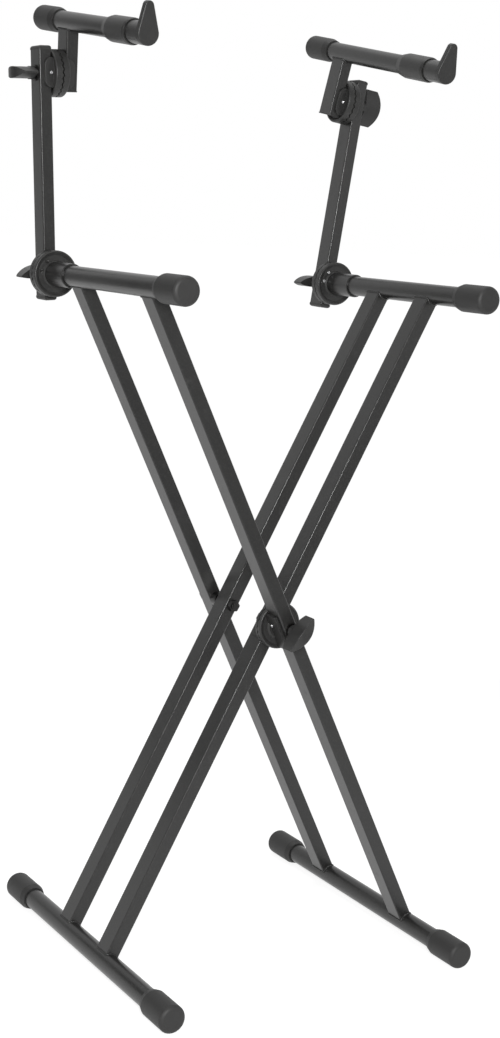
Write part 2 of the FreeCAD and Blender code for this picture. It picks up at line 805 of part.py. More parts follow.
def end_stop(label, bore):
    """A teardrop plate that stands up at the arm's end, on a plug that fits the sleeve."""
    body = new_body(label)
    plate = sketch_on(body, "XY_Plane", "Plate")
    big = size("stop_diameter") / 2
    small = size("stop_tip") / 2
    high = size("stop_height")
    lean = math.asin((big - small) / high)
    east = Vector(math.cos(lean), math.sin(lean), 0)
    west = Vector(-math.cos(lean), math.sin(lean), 0)
    top = Vector(0, high, 0)
    plate.addGeometry(Part.Arc(west * big, Vector(0, -big, 0), east * big))
    plate.addGeometry(Part.LineSegment(east * big, top + east * small))
    plate.addGeometry(Part.Arc(top + east * small, top + Vector(0, small, 0), top + west * small))
    plate.addGeometry(Part.LineSegment(top + west * small, west * big))
    for first, second in ((0, 1), (1, 2), (2, 3), (3, 0)):
        plate.addConstraint(Sketcher.Constraint("Tangent", first, 2, second, 1))
    pin_point(plate, 0, 3, "0", "0")
    pin_point(plate, 2, 3, "0", "stop_height")
    bind_radius(plate, 0, "stop_diameter / 2")
    bind_radius(plate, 2, "stop_tip / 2")
    pad(body, plate, "stop_thickness")
    shank = ring(sketch_on(body, "XY_Plane", "Shank"), f"{bore} - rest_gap")
    pad(body, shank, "stop_plug", backwards=True)
    front = size("stop_thickness")
    round_edges(body, "stop_edge", lambda edge: lies_at(edge, front))
    return body


INWARD = {"left": 1, "right": -1}
KNOB_TURN = {
    "pivot": Placement(Vector(), Rotation(Z_AXIS, 52)),
    "left_swivel": Placement(Vector(), Rotation(Z_AXIS, -13)),
    "right_swivel": Placement(Vector(), Rotation(Z_AXIS, -13)),
    "left_tilt": Placement(Vector(), Rotation(Z_AXIS, 90)),
    "right_tilt": Placement(Vector(), Rotation(Z_AXIS, 10)),
}


def tier(side, lean):
    """Everything that one upright carries."""
    sign = INWARD[side]
    base = shift(-sign * HALF_WIDTH, size("upright_back"), ARM_HEIGHT, Rotation(Y_AXIS, -sign * lean))
    tilt = Rotation(X_AXIS, size(f"{side}_tier_tilt"))
    top = base * shift(sign * size("tier_offset"), 0, size("tilt_height"), tilt)
    upright(side, base)
    swivel_clamp(side, base)
    tilt_clamp(side, base)
    upper_arm(side, top)
    sleeve_group(side, top)


def check_and_write():
    """Checks every object and every piece, then writes one file for each piece."""
    doc.recompute()
    for item in doc.Objects:
        if "Invalid" in item.State or "Error" in item.State:
            raise RuntimeError(f"{item.Name}: {item.State}")
    os.makedirs("parts", exist_ok=True)
    for piece in NODES:
        shape = piece.Shape
        if shape.isNull() or not shape.isValid() or not shape.Solids:
            raise RuntimeError(f"{piece.Label}: not a valid solid")
        shape.exportStep(f"parts/{piece.Label}.step")
    print(len(NODES), "pieces written")


frames()
pivot()
tier("left", size("left_lean"))
tier("right", size("right_lean"))
check_and_write()
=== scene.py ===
import json
import math

import bmesh
import bpy
from bpy.props import FloatProperty, FloatVectorProperty, PointerProperty
from mathutils import Matrix, Vector


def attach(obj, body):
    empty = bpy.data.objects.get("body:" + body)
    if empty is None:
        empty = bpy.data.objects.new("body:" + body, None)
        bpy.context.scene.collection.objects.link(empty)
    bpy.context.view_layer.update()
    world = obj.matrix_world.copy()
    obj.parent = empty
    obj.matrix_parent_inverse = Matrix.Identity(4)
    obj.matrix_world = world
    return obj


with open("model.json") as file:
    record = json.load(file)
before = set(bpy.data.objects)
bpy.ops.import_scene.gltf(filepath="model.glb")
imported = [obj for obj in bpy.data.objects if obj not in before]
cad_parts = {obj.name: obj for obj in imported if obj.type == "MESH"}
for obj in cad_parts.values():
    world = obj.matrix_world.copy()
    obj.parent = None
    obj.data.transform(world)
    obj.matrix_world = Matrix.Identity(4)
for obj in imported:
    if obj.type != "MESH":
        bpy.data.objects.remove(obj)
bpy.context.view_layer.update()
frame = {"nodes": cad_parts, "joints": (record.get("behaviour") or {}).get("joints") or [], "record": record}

bl_info = {
    "name": "Folding keyboard stand",
    "version": (1, 0, 0),
    "blender": (4, 5, 0),
    "location": "3D Viewport > Sidebar > Stand",
    "description": "Finishes and small parts of a two-tier folding keyboard stand",
    "category": "Object",
}

JOINTS = {joint["name"]: joint for joint in frame["joints"]}
SIDES = ("left", "right")
INWARD = {"left": 1, "right": -1}
# directions of the assembly
UP = Vector((0, 0, 1))
ACROSS = Vector((1, 0, 0))
BACK = Vector((0, 1, 0))
# sizes shared with the frame, in metres and radians
ARM_RADIUS = 0.016
UPPER_RADIUS = 0.015
LEG_REACH = 0.579
LEG_WIDTH = 0.022
TUBE_DEPTH = 0.035
UPRIGHT_WIDTH = 0.020
TUBE_CORNER = 0.002
HALF_ANGLE = math.radians(27)
OUTER_Y = 0.1175
INNER_Y = 0.0672
TIER_RISE = 0.079
TIER_TILT = {"left": math.radians(7.3), "right": math.radians(8.8)}
LEAN = {"left": math.radians(-3.7), "right": math.radians(7.3)}
ARM_BACK = 0.202
DISC_DISH = 0.0024
DISC_RADIUS = 0.0365
TILT_OFFSET = 0.044
ARM_BODY = {"left": "outer_frame", "right": "inner_frame"}
# the cheeks of the tilt discs: clearance from the tube, wall, reach from the disc, tuck under it and edges
CHEEK_GAP = 0.0002
CHEEK_WALL = 0.004
CHEEK_REACH = 0.015
CHEEK_TUCK = 0.0012
CHEEK_EDGE = 0.0009
CHEEK_CORNER_STEPS = 8
CHEEK_SCREW = 0.0050
LIP_MARGIN = 0.0002
# screws: where they stand, and a head's outline and cross recess as shares of its radius
# painted shade: the left hub screws take the darker black zinc so they glint less than the same screws on
# the right, which are plain zinc
HUB_SCREW_SLOT_AND_SHADE = {"left": "black_zinc", "right": "zinc_steel"}
HUB_SCREW_ANGLES = (math.radians(170), math.radians(129))
OUTER_SCREW_Y = 0.1062
INNER_SCREW_Y = 0.0785
PIVOT_SCREW_RISE = 0.011
HEAD_OUTLINE = ((1.0, 0.0), (1.0, 0.28), (0.93, 0.5), (0.78, 0.66), (0.55, 0.76), (0.30, 0.80))
HEAD_STEPS = 32
RECESS_REACH = 0.7
RECESS_NARROWNESS = 0.86
RECESS_DEPTH = 0.34
RECESS_FLOOR = 0.40
# welds and the thread on the back pivot bolt's tail
WELD_POINT_SPACING = 0.0015
RIPPLE_STEP = 0.22
THREAD_START = 0.0406
THREAD_LENGTH = 0.0034
THREAD_RIDGE = 0.36
# floor: half its side, its drop below the feet, and its glow near the stand and further off
FLOOR_REACH = 60
FLOOR_DROP = 0.0005
FLOOR_GLOW = 1.30
FLOOR_FADE = 0.28
FLOOR_GLOW_SHARE = 0.62
FLOOR_FADE_FROM = 0.7
FLOOR_FADE_TO = 1.9
# light: how bright the surroundings are, and how much less of them reflections get
WORLD_LIGHT = 0.40
FRONT_DIMMING = 0.60
CEILING_DIMMING = 0.25
# a dark card that only reflections see: its left, right, bottom and top edges and its distance behind
FLAG = (-3.6, -0.72, 0.55, 3.0, 1.3)
# each lamp's place, side and power, and the point that all of them face
LAMP_AIM = Vector((0, 0, 0.8))
LAMPS = {
    "key_box": ((-1.5, -2.6, 1.6), 0.55, 90.0),
    "fill_box": ((2.6, -2.8, 1.8), 2.2, 12.0),
    "top_box": ((0.3, 0.6, 4.0), 2.6, 35.0),
}
# the photograph's camera: place, angles, focal length and height in its pixels, sensor's longer side in mm
CAMERA_PLACE = (-1.4171, -2.3438, 1.1539)
CAMERA_YAW = math.radians(31.07)
CAMERA_PITCH = math.radians(-9.68)
CAMERA_ROLL = math.radians(3.24)
FOCAL_PIXELS = 1755.8
PHOTO_HEIGHT = 1038
SENSOR_SIZE = 36
# numbers of a Mix node's colour sockets
MIX_FIRST, MIX_SECOND, MIX_RESULT = 6, 7, 2


# ---------------------------------------------------------------- settings


class StandSizes(bpy.types.PropertyGroup):
    bead_radius: FloatProperty(
        name="Weld bead",
        description="Radius of a weld bead",
        default=0.0017,
        unit="LENGTH",
        precision=5,
    )
    bead_ripple: FloatProperty(
        name="Weld ripple",
        description="Distance from one ripple of a weld to the next",
        default=0.0016,
        unit="LENGTH",
        precision=5,
    )
    screw_ring: FloatProperty(
        name="Screw circle",
        description="Radius of the circle of the hub screws",
        default=0.0240,
        unit="LENGTH",
    )
    lip_radius: FloatProperty(
        name="Disc lip",
        description="Radius of the rounded lip of a clutch disc",
        default=0.0023,
        unit="LENGTH",
        precision=5,
    )
    screw_head: FloatProperty(
        name="Screw head",
        description="Radius of a screw's head",
        default=0.0026,
        unit="LENGTH",
        precision=5,
    )
    cheek_length: FloatProperty(
        name="Saddle length",
        description="Length of a tilt disc's cheek along its tube",
        default=0.046,
        unit="LENGTH",
    )
    cheek_corner: FloatProperty(
        name="Saddle corner",
        description="Radius of the corners of a tilt disc's cheek",
        default=0.011,
        unit="LENGTH",
    )
    thread_pitch: FloatProperty(
        name="Thread pitch",
        description="Pitch of the thread on the back pivot bolt",
        default=0.0015,
        unit="LENGTH",
        precision=5,
    )
    bolt_radius: FloatProperty(
        name="Bolt radius",
        description="Radius of the back pivot bolt",
        default=0.005,
        unit="LENGTH",
        precision=5,
    )


class StandFinish(bpy.types.PropertyGroup):
    paint_colour: FloatVectorProperty(
        name="Powder coat",
        description="Colour of the powder-coated tubes",
        subtype="COLOR",
        default=(0.0140, 0.0138, 0.0134),
    )
    rubber_colour: FloatVectorProperty(
        name="Rubber",
        description="Colour of the rubber caps",
        subtype="COLOR",
        default=(0.0180, 0.0178, 0.0174),
    )
    clutch_colour: FloatVectorProperty(
        name="Clutch",
        description="Colour of the clutch discs and collars",
        subtype="COLOR",
        default=(0.0190, 0.0188, 0.0182),
    )
    knob_colour: FloatVectorProperty(
        name="Knobs",
        description="Colour of the wing knobs and end stops",
        subtype="COLOR",
        default=(0.0180, 0.0178, 0.0174),
    )
    black_zinc_colour: FloatVectorProperty(
        name="Black zinc",
        description="Colour of the black-plated bolts and washers",
        subtype="COLOR",
        default=(0.060, 0.059, 0.058),
    )
    zinc_colour: FloatVectorProperty(
        name="Zinc",
        description="Colour of the zinc-plated screws and bolts",
        subtype="COLOR",
        default=(0.62, 0.62, 0.63),
    )
    floor_colour: FloatVectorProperty(
        name="Floor", description="Colour of the floor", subtype="COLOR", default=(0.9, 0.9, 0.9)
    )


def sizes():
    return bpy.context.scene.stand_sizes


def finish():
    return bpy.context.scene.stand_finish


# ---------------------------------------------------------------- node trees


class Wire:
    """One output socket, with the arithmetic that Math nodes do on numbers."""

    def __init__(self, tree, socket):
        self.tree = tree
        self.socket = socket

    def combine(self, operation, first, second):
        return self.tree.add("ShaderNodeMath", {"operation": operation}, {0: first, 1: second})

    def __add__(self, other):
        return self.combine("ADD", self, other)

    __radd__ = __add__

    def __sub__(self, other):
        return self.combine("SUBTRACT", self, other)

    def __rsub__(self, other):
        return self.combine("SUBTRACT", other, self)

    def __mul__(self, other):
        return self.combine("MULTIPLY", self, other)

    __rmul__ = __mul__

    def __truediv__(self, other):
        return self.combine("DIVIDE", self, other)


class Tree:
    """A shader or geometry tree that is written one node at a time."""

    def __init__(self, nodes):
        self.nodes = nodes

    def add(self, kind, settings=None, inputs=None, out=0):
        """Adds a node: its settings first, then the values or links of its inputs; gives one output."""
        node = self.nodes.nodes.new(kind)
        for name, value in (settings or {}).items():
            setattr(node, name, value)
        for key, value in (inputs or {}).items():
            self.set(node, key, value)
        node.select = False
        return Wire(self, node.outputs[out])

    def set(self, node, key, value):
        target = node.inputs[key]
        if isinstance(value, Wire):
            self.nodes.links.new(value.socket, target)
        else:
            target.default_value = value

    def ramp(self, factor, stops):
        """A Color Ramp between grey levels."""
        node = self.nodes.nodes.new("ShaderNodeValToRGB")
        elements = node.color_ramp.elements
        for element, (place, level) in zip(elements, stops):
            element.position = place
            element.color = (level, level, level, 1)
        self.set(node, "Fac", factor)
        return Wire(self, node.outputs["Color"])

    def mix(self, factor, first, second):
        """A Mix of two colours."""
        node = self.nodes.nodes.new("ShaderNodeMix")
        node.data_type = "RGBA"
        self.set(node, 0, factor)
        self.set(node, MIX_FIRST, first)
        self.set(node, MIX_SECOND, second)
        return Wire(self, node.outputs[MIX_RESULT])

    def ease(self, value, low, high):
        """A soft step from 0 at one value to 1 at another."""
        settings = {"interpolation_type": "SMOOTHSTEP"}
        return self.add("ShaderNodeMapRange", settings, {"Value": value, "From Min": low, "From Max": high})

    def end_in(self, shader):
        """Leads a shader to the tree's output."""
        kind = "ShaderNodeOutputMaterial"
        if shader.socket.node.bl_idname == "ShaderNodeBackground":
            kind = "ShaderNodeOutputWorld"
        self.set(self.nodes.nodes.new(kind), "Surface", shader)


def new_material(name):
    """An empty material, its tree and the coordinates of a place on the piece."""
    material = bpy.data.materials.new(name)
    material.use_nodes = True
    material.node_tree.nodes.clear()
    tree = Tree(material.node_tree)
    place = tree.add("ShaderNodeTexCoord", out="Object")
    return material, tree, place


def noise(tree, place, scale, detail=3.0, roughness=0.5):
    sockets = {"Vector": place, "Scale": scale, "Detail": detail, "Roughness": roughness}
    return tree.add("ShaderNodeTexNoise", None, sockets)


def tint(colour, factor):
    return (colour[0] * factor, colour[1] * factor, colour[2] * factor, 1)


def close_material(tree, colour, roughness, bump_height, bump_size, **fixed):
    """Joins colour, roughness and bump to a Principled shader; the other sockets take plain numbers."""
    bump = tree.add("ShaderNodeBump", None, {"Strength": 1.0, "Distance": bump_size, "Height": bump_height})
    sockets = {"Base Color": colour, "Roughness": roughness, "Normal": bump}
    sockets.update({name.replace("_", " "): value for name, value in fixed.items()})
    shader = tree.add("ShaderNodeBsdfPrincipled", None, sockets)
    tree.end_in(shader)


def powder_coat():
    """Satin powder coat: orange peel, paler specks, a faint cloudiness and a few dull rubs."""
    material, tree, place = new_material("powder_coat")
    colour = finish().paint_colour
    cloud = noise(tree, place, scale=14.0, detail=4.0)
    rub = noise(tree, place, scale=55.0, detail=5.0, roughness=0.62)
    worn = tree.ramp(rub, [(0.60, 0.0), (0.74, 1.0)])
    speck = noise(tree, place, scale=340.0, detail=2.0, roughness=0.6)
    base = tree.mix(cloud, tint(colour, 0.80), tint(colour, 1.18))
    base = tree.mix(tree.ramp(speck, [(0.50, 0.0), (0.68, 1.0)]) * 0.5, base, tint(colour, 2.0))
    base = tree.mix(worn * 0.35, base, tint(colour, 2.4))
    roughness = 0.25 + cloud * 0.06 + speck * 0.06 + worn * 0.12
    peel = noise(tree, place, scale=480.0, detail=2.0)
    fine = noise(tree, place, scale=1500.0, detail=1.0)
    skin = peel * 0.75 + fine * 0.25
    close_material(tree, base, roughness, skin, bump_size=0.000085, Specular_IOR_Level=0.5)
    return material


def moulded(name, colour, rough, grain, depth):
    """Moulded rubber or plastic: spark-eroded grain, soft sheen changes and a little dust."""
    material, tree, place = new_material(name)
    cloud = noise(tree, place, scale=24.0, detail=4.0)
    settled = noise(tree, place, scale=130.0, detail=5.0, roughness=0.65)
    dust = tree.ramp(settled, [(0.52, 0.0), (0.78, 1.0)])
    base = tree.mix(cloud, tint(colour, 0.85), tint(colour, 1.15))
    base = tree.mix(dust * 0.25, base, tint(colour, 2.0))
    roughness = rough - 0.05 + cloud * 0.12 + dust * 0.06
    skin = noise(tree, place, scale=grain, detail=2.0)
    close_material(tree, base, roughness, skin, bump_size=depth, Specular_IOR_Level=0.45)
    return material


def zinc(name, colour):
    """Zinc plate with faint tumbling marks."""
    material, tree, place = new_material(name)
    cloud = noise(tree, place, scale=260.0, detail=4.0, roughness=0.6)
    base = tree.mix(cloud, tint(colour, 0.72), tint(colour, 1.1))
    marks = noise(tree, place, scale=2600.0, detail=2.0)
    close_material(tree, base, 0.22 + cloud * 0.2, marks, bump_size=0.00003, Metallic=1.0)
    return material


FINISHES = {}


def materials():
    """The finishes by the record's slots, made once."""
    if not FINISHES:
        clutch = finish().clutch_colour
        FINISHES["black_paint"] = powder_coat()
        FINISHES["cap_rubber"] = moulded(
            "moulded_rubber", finish().rubber_colour, rough=0.55, grain=620.0, depth=0.00014
        )
        FINISHES["clutch_plastic"] = moulded("clutch_nylon", clutch, rough=0.42, grain=900.0, depth=0.00010)
        FINISHES["knob_plastic"] = moulded(
            "knob_nylon", finish().knob_colour, rough=0.42, grain=850.0, depth=0.00010
        )
        FINISHES["plug_plastic"] = moulded(
            "plug_polyethylene", clutch, rough=0.46, grain=800.0, depth=0.00006
        )
        FINISHES["zinc_steel"] = zinc("zinc_plate", finish().zinc_colour)
        FINISHES["black_zinc"] = zinc("black_zinc_plate", finish().black_zinc_colour)
    return FINISHES


SLOT_OF = {part["node"]: part["material_slot"] for part in frame["record"]["subparts"]}


def paint_nodes(slots):
    """Gives the nodes of some slots their finish."""
    finishes = materials()
    for name, node in frame["nodes"].items():
        slot = SLOT_OF[name]
        if slot in slots:
            node.data.materials.clear()
            node.data.materials.append(finishes[slot])


# ---------------------------------------------------------------- pieces


def link(name, mesh):
    piece = bpy.data.objects.new(name, mesh)
    bpy.context.scene.collection.objects.link(piece)
    return piece


def frame_matrix(position, z_axis, x_hint):
    """A placement whose Z runs along an axis."""
    z = Vector(z_axis).normalized()
    x = (Vector(x_hint) - z * Vector(x_hint).dot(z)).normalized()
    y = z.cross(x)
    turn = Matrix((x, y, z)).transposed().to_4x4()
    return Matrix.Translation(position) @ turn


def keep(piece, body, slot):
    """Gives a piece its finish, and the body that it moves with."""
    piece.data.materials.clear()
    piece.data.materials.append(materials()[slot])
    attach(piece, body)


def grow(name, mesh, group, values, body, slot, place=None):
    """Runs a geometry tree on a mesh and keeps the plain mesh that comes out, put in its place."""
    seed = link(name + "_seed", mesh)
    modifier = seed.modifiers.new("Build", "NODES")
    modifier.node_group = group
    for item in group.interface.items_tree:
        if item.item_type == "SOCKET" and item.in_out == "INPUT" and item.name in values:
            modifier[item.identifier] = values[item.name]
    bpy.context.view_layer.update()
    graph = bpy.context.evaluated_depsgraph_get()
    result = bpy.data.meshes.new_from_object(seed.evaluated_get(graph))
    seed.modifiers.remove(modifier)
    bpy.data.objects.remove(seed)
    result.name = name
    if place:
        result.transform(place)
    keep(link(name, result), body, slot)


def new_group(name, numbers):
    """A geometry tree with named inputs: a geometry, then numbers, then a material."""
    group = bpy.data.node_groups.new(name, "GeometryNodeTree")
    group.interface.new_socket("Geometry", in_out="INPUT", socket_type="NodeSocketGeometry")
    for label, kind in numbers.items():
        group.interface.new_socket(label, in_out="INPUT", socket_type=kind)
    group.interface.new_socket("Material", in_out="INPUT", socket_type="NodeSocketMaterial")
    group.interface.new_socket("Geometry", in_out="OUTPUT", socket_type="NodeSocketGeometry")
    tree = Tree(group)
    source = group.nodes.new("NodeGroupInput")
    inputs = {socket.name: Wire(tree, socket) for socket in source.outputs if socket.name}
    return group, tree, inputs


def close_group(tree, geometry, material):
    """Ends a geometry tree in Realize Instances and Set Material."""
    real = tree.add("GeometryNodeRealizeInstances", None, {"Geometry": geometry})
    made = tree.add("GeometryNodeSetMaterial", None, {"Geometry": real, "Material": material})
    node = tree.nodes.nodes.new("NodeGroupOutput")
    tree.set(node, "Geometry", made)


def bead_group():
    """A weld bead along the edges of a mesh, swelling and sinking with each ripple."""
    if "weld_bead" in bpy.data.node_groups:
        return bpy.data.node_groups["weld_bead"]
    numbers = {"Radius": "NodeSocketFloat", "Ripple": "NodeSocketFloat"}
    group, tree, inputs = new_group("weld_bead", numbers)
    curve = tree.add("GeometryNodeMeshToCurve", None, {"Mesh": inputs["Geometry"]})
    spacing = inputs["Ripple"] * RIPPLE_STEP
    curve = tree.add("GeometryNodeResampleCurve", {"mode": "LENGTH"}, {"Curve": curve, "Length": spacing})
    along = tree.add("GeometryNodeSplineParameter", out="Length")
    wave = tree.add("ShaderNodeMath", {"operation": "SINE"}, {0: along / inputs["Ripple"] * math.tau})
    place = tree.add("GeometryNodeInputPosition")
    lump = tree.add("ShaderNodeTexNoise", None, {"Vector": place, "Scale": 180.0, "Detail": 1.0})
    swell = 0.82 + wave * 0.10 + lump * 0.30
    curve = tree.add("GeometryNodeSetCurveRadius", None, {"Curve": curve, "Radius": swell})
    section = {"Resolution": 8, "Radius": inputs["Radius"]}
    profile = tree.add("GeometryNodeCurvePrimitiveCircle", None, section)
    sockets = {"Curve": curve, "Profile Curve": profile}
    bead = tree.add("GeometryNodeCurveToMesh", None, sockets)
    if "Scale" in bead.socket.node.inputs:
        radius = tree.add("GeometryNodeInputRadius")
        tree.set(bead.socket.node, "Scale", radius)
    bead = tree.add("GeometryNodeSetShadeSmooth", None, {"Geometry": bead})
    close_group(tree, bead, inputs["Material"])
    return group


def lip_group():
    """A rounded lip that runs round a disc."""
    if "disc_lip" in bpy.data.node_groups:
        return bpy.data.node_groups["disc_lip"]
    group, tree, inputs = new_group("disc_lip", {"Radius": "NodeSocketFloat", "Lip": "NodeSocketFloat"})
    circle = "GeometryNodeCurvePrimitiveCircle"
    ring = tree.add(circle, None, {"Resolution": 128, "Radius": inputs["Radius"]})
    section = tree.add(circle, None, {"Resolution": 20, "Radius": inputs["Lip"]})
    lip = tree.add("GeometryNodeCurveToMesh", None, {"Curve": ring, "Profile Curve": section})
    lip = tree.add("GeometryNodeSetShadeSmooth", None, {"Geometry": lip})
    close_group(tree, lip, inputs["Material"])
    return group


def thread_group():
    """A screw thread: a spiral ridge of diamond section, sunk half way into the bolt."""
    if "screw_thread" in bpy.data.node_groups:
        return bpy.data.node_groups["screw_thread"]
    numbers = {"Radius": "NodeSocketFloat", "Pitch": "NodeSocketFloat", "Turns": "NodeSocketFloat"}
    group, tree, inputs = new_group("screw_thread", numbers)
    sockets = {
        "Resolution": 24,
        "Rotations": inputs["Turns"],
        "Start Radius": inputs["Radius"],
        "End Radius": inputs["Radius"],
        "Height": inputs["Turns"] * inputs["Pitch"],
    }
    spiral = tree.add("GeometryNodeCurveSpiral", None, sockets)
    section = {"Resolution": 4, "Radius": inputs["Pitch"] * THREAD_RIDGE}
    profile = tree.add("GeometryNodeCurvePrimitiveCircle", None, section)
    sockets = {"Curve": spiral, "Profile Curve": profile, "Fill Caps": True}
    ridge = tree.add("GeometryNodeCurveToMesh", None, sockets)
    close_group(tree, ridge, inputs["Material"])
    return group


def saddle(turn, reach, radius, width, depth, corner, steps=10):
    """The closed line where a rectangular tube's end meets a round tube that lies along Y."""
    points = []
    for quarter in range(4):
        side_x = (1, -1, -1, 1)[quarter]
        side_y = (1, 1, -1, -1)[quarter]
        for step in range(steps + 1):
            angle = math.pi / 2 * (quarter + step / steps)
            x = side_x * (width / 2 - corner) + corner * math.cos(angle)
            y = side_y * (depth / 2 - corner) + corner * math.sin(angle)
            points.append((x, y))
    outline = []
    for index, (x, y) in enumerate(points):
        after = points[(index + 1) % len(points)]
        gap = math.hypot(after[0] - x, after[1] - y)
        pieces = max(1, round(gap / WELD_POINT_SPACING))
        for piece in range(pieces):
            share = piece / pieces
            outline.append((x + (after[0] - x) * share, y + (after[1] - y) * share))
    return [turn @ Vector((x, y, reach - math.sqrt(radius**2 - x**2))) for x, y in outline]


def loops_mesh(name, loops):
    """A mesh of closed lines."""
    mesh = bpy.data.meshes.new(name)
    verts, edges = [], []
    for loop in loops:
        first = len(verts)
        verts.extend(loop)
        edges.extend((first + i, first + (i + 1) % len(loop)) for i in range(len(loop)))
    mesh.from_pydata(verts, edges, [])
    return mesh


def add_screw(bm, radius, place):
    """A pan-head screw head with a cross recess, standing on its underside."""
    rings = []
    for share, height in HEAD_OUTLINE:
        ring = []
        for i in range(HEAD_STEPS):
            angle = math.tau * i / HEAD_STEPS
            recessed = share < RECESS_REACH and abs(math.cos(2 * angle)) > RECESS_NARROWNESS
            z = height - RECESS_DEPTH if recessed else height
            point = Vector((share * math.cos(angle), share * math.sin(angle), z))
            ring.append(bm.verts.new(place @ (point * radius)))
        rings.append(ring)
    for lower, upper in zip(rings, rings[1:]):
        for i in range(HEAD_STEPS):
            j = (i + 1) % HEAD_STEPS
            bm.faces.new((lower[i], lower[j], upper[j], upper[i]))
    crown = bm.verts.new(place @ Vector((0, 0, radius * RECESS_FLOOR)))
    for i in range(HEAD_STEPS):
        bm.faces.new((rings[-1][i], rings[-1][(i + 1) % HEAD_STEPS], crown))
    bm.faces.new(list(reversed(rings[0])))


def screws_mesh(radius, places):
    """Screw heads, one in each place."""
    bm = bmesh.new()
    for place in places:
        add_screw(bm, radius, place)
    return finished_mesh(bm, "screws", smooth=True)


def finished_mesh(bm, name, smooth=False):
    """The mesh of a bmesh, its faces pointing outwards."""
    bmesh.ops.recalc_face_normals(bm, faces=bm.faces)
    mesh = bpy.data.meshes.new(name)
    bm.to_mesh(mesh)
    bm.free()
    for face in mesh.polygons:
        face.use_smooth = smooth
    return mesh


def add_cheek(bm, place):
    """A moulded cheek that lies on a tube: X leads away from its disc, Y along the tube and Z outwards."""
    half = sizes().cheek_length / 2
    corner = sizes().cheek_corner
    outline = [(-CHEEK_TUCK, -half)]
    for turn, side in ((-math.pi / 2, -1), (0.0, 1)):
        for step in range(CHEEK_CORNER_STEPS + 1):
            angle = turn + math.pi / 2 * step / CHEEK_CORNER_STEPS
            x = CHEEK_REACH - corner + corner * math.cos(angle)
            outline.append((x, side * (half - corner) + corner * math.sin(angle)))
    outline.append((-CHEEK_TUCK, half))
    base = bm.faces.new([bm.verts.new(place @ Vector((x, y, 0))) for x, y in outline])
    base.normal_update()
    raised = bmesh.ops.extrude_face_region(bm, geom=[base])["geom"]
    outwards = place.to_3x3() @ Vector((0, 0, CHEEK_WALL))
    top_corners = [part for part in raised if isinstance(part, bmesh.types.BMVert)]
    bmesh.ops.translate(bm, vec=outwards, verts=top_corners)
    top = next(part for part in raised if isinstance(part, bmesh.types.BMFace))
    rim = list(top.edges)
    bmesh.ops.bevel(bm, geom=rim, offset=CHEEK_EDGE, segments=3, profile=0.5, affect="EDGES")


def disc_places():
    """Each clutch disc's body and the placement of its back, with Z away from the teeth."""
    pivot = Vector(JOINTS["fold"]["pos_m"])
    outer_seat = pivot - BACK * (OUTER_Y - TUBE_DEPTH / 2)
    inner_seat = pivot - BACK * (INNER_Y + TUBE_DEPTH / 2)
    places = {
        "outer_pivot_disc": ("outer_frame", frame_matrix(outer_seat, -BACK, ACROSS)),
        "inner_pivot_disc": ("inner_frame", frame_matrix(inner_seat, BACK, ACROSS)),
    }
    for side in SIDES:
        swivel = Vector(JOINTS[f"{side}_swivel"]["pos_m"])
        seat = Vector((swivel.x, ARM_BACK, swivel.z))
        places[f"{side}_arm_disc"] = (ARM_BODY[side], frame_matrix(seat, -BACK, ACROSS))
        front = swivel - BACK * (TUBE_DEPTH / 2)
        places[f"{side}_upright_disc"] = (f"{side}_upright", frame_matrix(front, BACK, ACROSS))
        inward = ACROSS * INWARD[side]
        step = inward * (UPRIGHT_WIDTH / 2)
        plumb = tier_frame(side, 0.0) @ frame_matrix(step - inward * TILT_OFFSET, -inward, BACK)
        places[f"{side}_upright_tilt_disc"] = (f"{side}_upright", plumb)
        tilted = tier_frame(side, TIER_TILT[side]) @ frame_matrix(-step, inward, BACK)
        places[f"{side}_stub_disc"] = (f"{side}_upper_arm", tilted)
    return places


def tier_frame(side, tilt):
    """The placement of the tilt joint, its origin on the stub's axis, turned by the tilt or not."""
    place = Matrix.Translation(JOINTS[f"{side}_tilt"]["pos_m"]) @ Matrix.Rotation(LEAN[side], 4, "Y")
    return place @ Matrix.Rotation(tilt, 4, "X")


# ---------------------------------------------------------------- operators


class STAND_OT_tubes(bpy.types.Operator):
    """Powder coat on every tube"""

    bl_idname = "stand.tubes"
    bl_label = "Paint tubes"

    def execute(self, context):
        paint_nodes({"black_paint"})
        return {"FINISHED"}


class STAND_OT_mouldings(bpy.types.Operator):
    """Rubber caps, nylon discs, collars, knobs, stops and plugs"""

    bl_idname = "stand.mouldings"
    bl_label = "Finish mouldings"

    def execute(self, context):
        paint_nodes({"cap_rubber", "clutch_plastic", "knob_plastic", "plug_plastic"})
        return {"FINISHED"}


class STAND_OT_fasteners(bpy.types.Operator):
    """Zinc plate on bolts, washers, nut and spacer, and a thread on the back pivot bolt's tail"""

    bl_idname = "stand.fasteners"
    bl_label = "Finish fasteners"

    def execute(self, context):
        paint_nodes({"zinc_steel", "black_zinc"})
        pivot = Vector(JOINTS["fold"]["pos_m"])
        pitch = sizes().thread_pitch
        values = {"Radius": sizes().bolt_radius, "Pitch": pitch, "Turns": THREAD_LENGTH / pitch}
        values["Material"] = materials()["black_zinc"]
        place = frame_matrix(pivot + BACK * THREAD_START, -BACK, ACROSS)
        seed = bpy.data.meshes.new("thread")
        grow("back_pivot_thread", seed, thread_group(), values, "outer_frame", "black_zinc", place)
        return {"FINISHED"}


